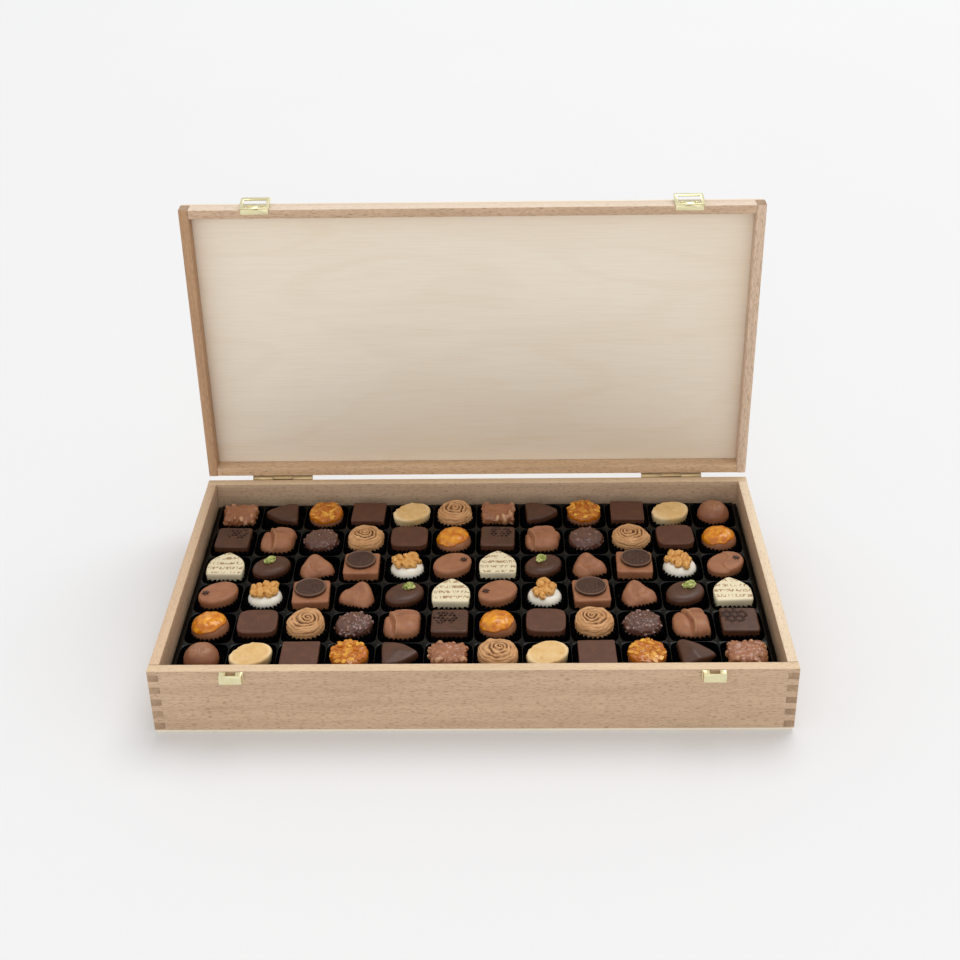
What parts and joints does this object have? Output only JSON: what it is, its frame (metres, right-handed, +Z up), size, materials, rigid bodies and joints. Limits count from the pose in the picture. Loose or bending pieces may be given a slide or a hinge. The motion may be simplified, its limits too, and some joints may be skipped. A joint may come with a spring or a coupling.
{
  "type": "box of chocolate pralines",
  "caption": "Flat wooden presentation box with an open hinged lid, filled with a grid of assorted chocolate pralines in a black tray.",
  "frame": {"origin": "under the middle of the box, on the surface that it stands on", "axes": "+X along the box's long side to the right, +Y towards the hinges at the back, +Z up"},
  "size_m": [0.43, 0.2516, 0.29],
  "materials": {
    "beech": "fine sanded, unlacquered hardwood",
    "plywood": "pale sanded plywood",
    "tray_plastic": "glossy black moulded tray",
    "brass": "pale brass plated steel",
    "milk_chocolate": "satin milk chocolate",
    "piped_cream": "satin piped hazelnut cream",
    "caramel_flakes": "glossy caramelised almond flakes",
    "orange_glaze": "glossy orange glaze on milk chocolate",
    "white_chocolate": "glossy white chocolate",
    "dark_chocolate": "satin dark chocolate",
    "blonde_chocolate": "satin blonde chocolate",
    "marked_white": "ivory chocolate with fine brown marks",
    "paper_cup": "pleated black paper",
    "nuts": "roasted nut kernels"
  },
  "bodies": {
    "box": {"box_front": "beech", "box_back": "beech", "box_left": "beech", "box_right": "beech", "box_bottom": "plywood", "tray": "tray_plastic", "hazelnut_r1c1": "milk_chocolate", "hazelnut_r1c7": "milk_chocolate", "hazelnut_r6c6": "milk_chocolate", "hazelnut_r6c12": "milk_chocolate", "florentine_r1c3": "caramel_flakes", "florentine_r1c9": "caramel_flakes", "florentine_r6c4": "caramel_flakes", "florentine_r6c10": "caramel_flakes", "swirl_r1c6": "piped_cream", "swirl_r2c4": "piped_cream", "swirl_r2c10": "piped_cream", "swirl_r5c3": "piped_cream", "swirl_r5c9": "piped_cream", "swirl_r6c7": "piped_cream", "dome_r1c12": "milk_chocolate", "dome_r6c1": "milk_chocolate", "fold_r2c2": "milk_chocolate", "fold_r2c8": "milk_chocolate", "fold_r5c5": "milk_chocolate", "fold_r5c11": "milk_chocolate", "orange_r2c6": "orange_glaze", "orange_r2c12": "orange_glaze", "orange_r5c1": "orange_glaze", "orange_r5c7": "orange_glaze", "peaks_r3c3": "milk_chocolate", "peaks_r3c9": "milk_chocolate", "peaks_r4c4": "milk_chocolate", "peaks_r4c10": "milk_chocolate", "disc_r3c4": "milk_chocolate", "disc_r3c10": "milk_chocolate", "disc_r4c3": "milk_chocolate", "disc_r4c9": "milk_chocolate", "walnut_r3c5": "white_chocolate", "walnut_r3c11": "white_chocolate", "walnut_r4c2": "white_chocolate", "walnut_r4c8": "white_chocolate", "hinge_box_left": "brass", "hinge_box_right": "brass", "catch_left": "brass", "catch_right": "brass"},
    "lid": {"lid_front": "beech", "lid_back": "beech", "lid_left": "beech", "lid_right": "beech", "lid_panel": "plywood", "hinge_lid_left": "brass", "hinge_lid_right": "brass", "latch_plate_left": "brass", "latch_plate_right": "brass"},
    "latch_left": {"latch_ring_left": "brass"},
    "latch_right": {"latch_ring_right": "brass"}
  },
  "joints": [
    {"name": "lid_hinge", "type": "hinge", "parent": "box", "child": "lid", "pos_m": [0, 0.117, 0.0533], "axis": [1, 0, 0], "range_deg": [0, 90]},
    {"name": "latch_left_swing", "type": "hinge", "parent": "lid", "child": "latch_left", "pos_m": [-0.159, 0.1172, 0.2867], "axis": [1, 0, 0], "range_deg": [0, 166]},
    {"name": "latch_right_swing", "type": "hinge", "parent": "lid", "child": "latch_right", "pos_m": [0.159, 0.1172, 0.2867], "axis": [1, 0, 0], "range_deg": [0, 166]}
  ]
}
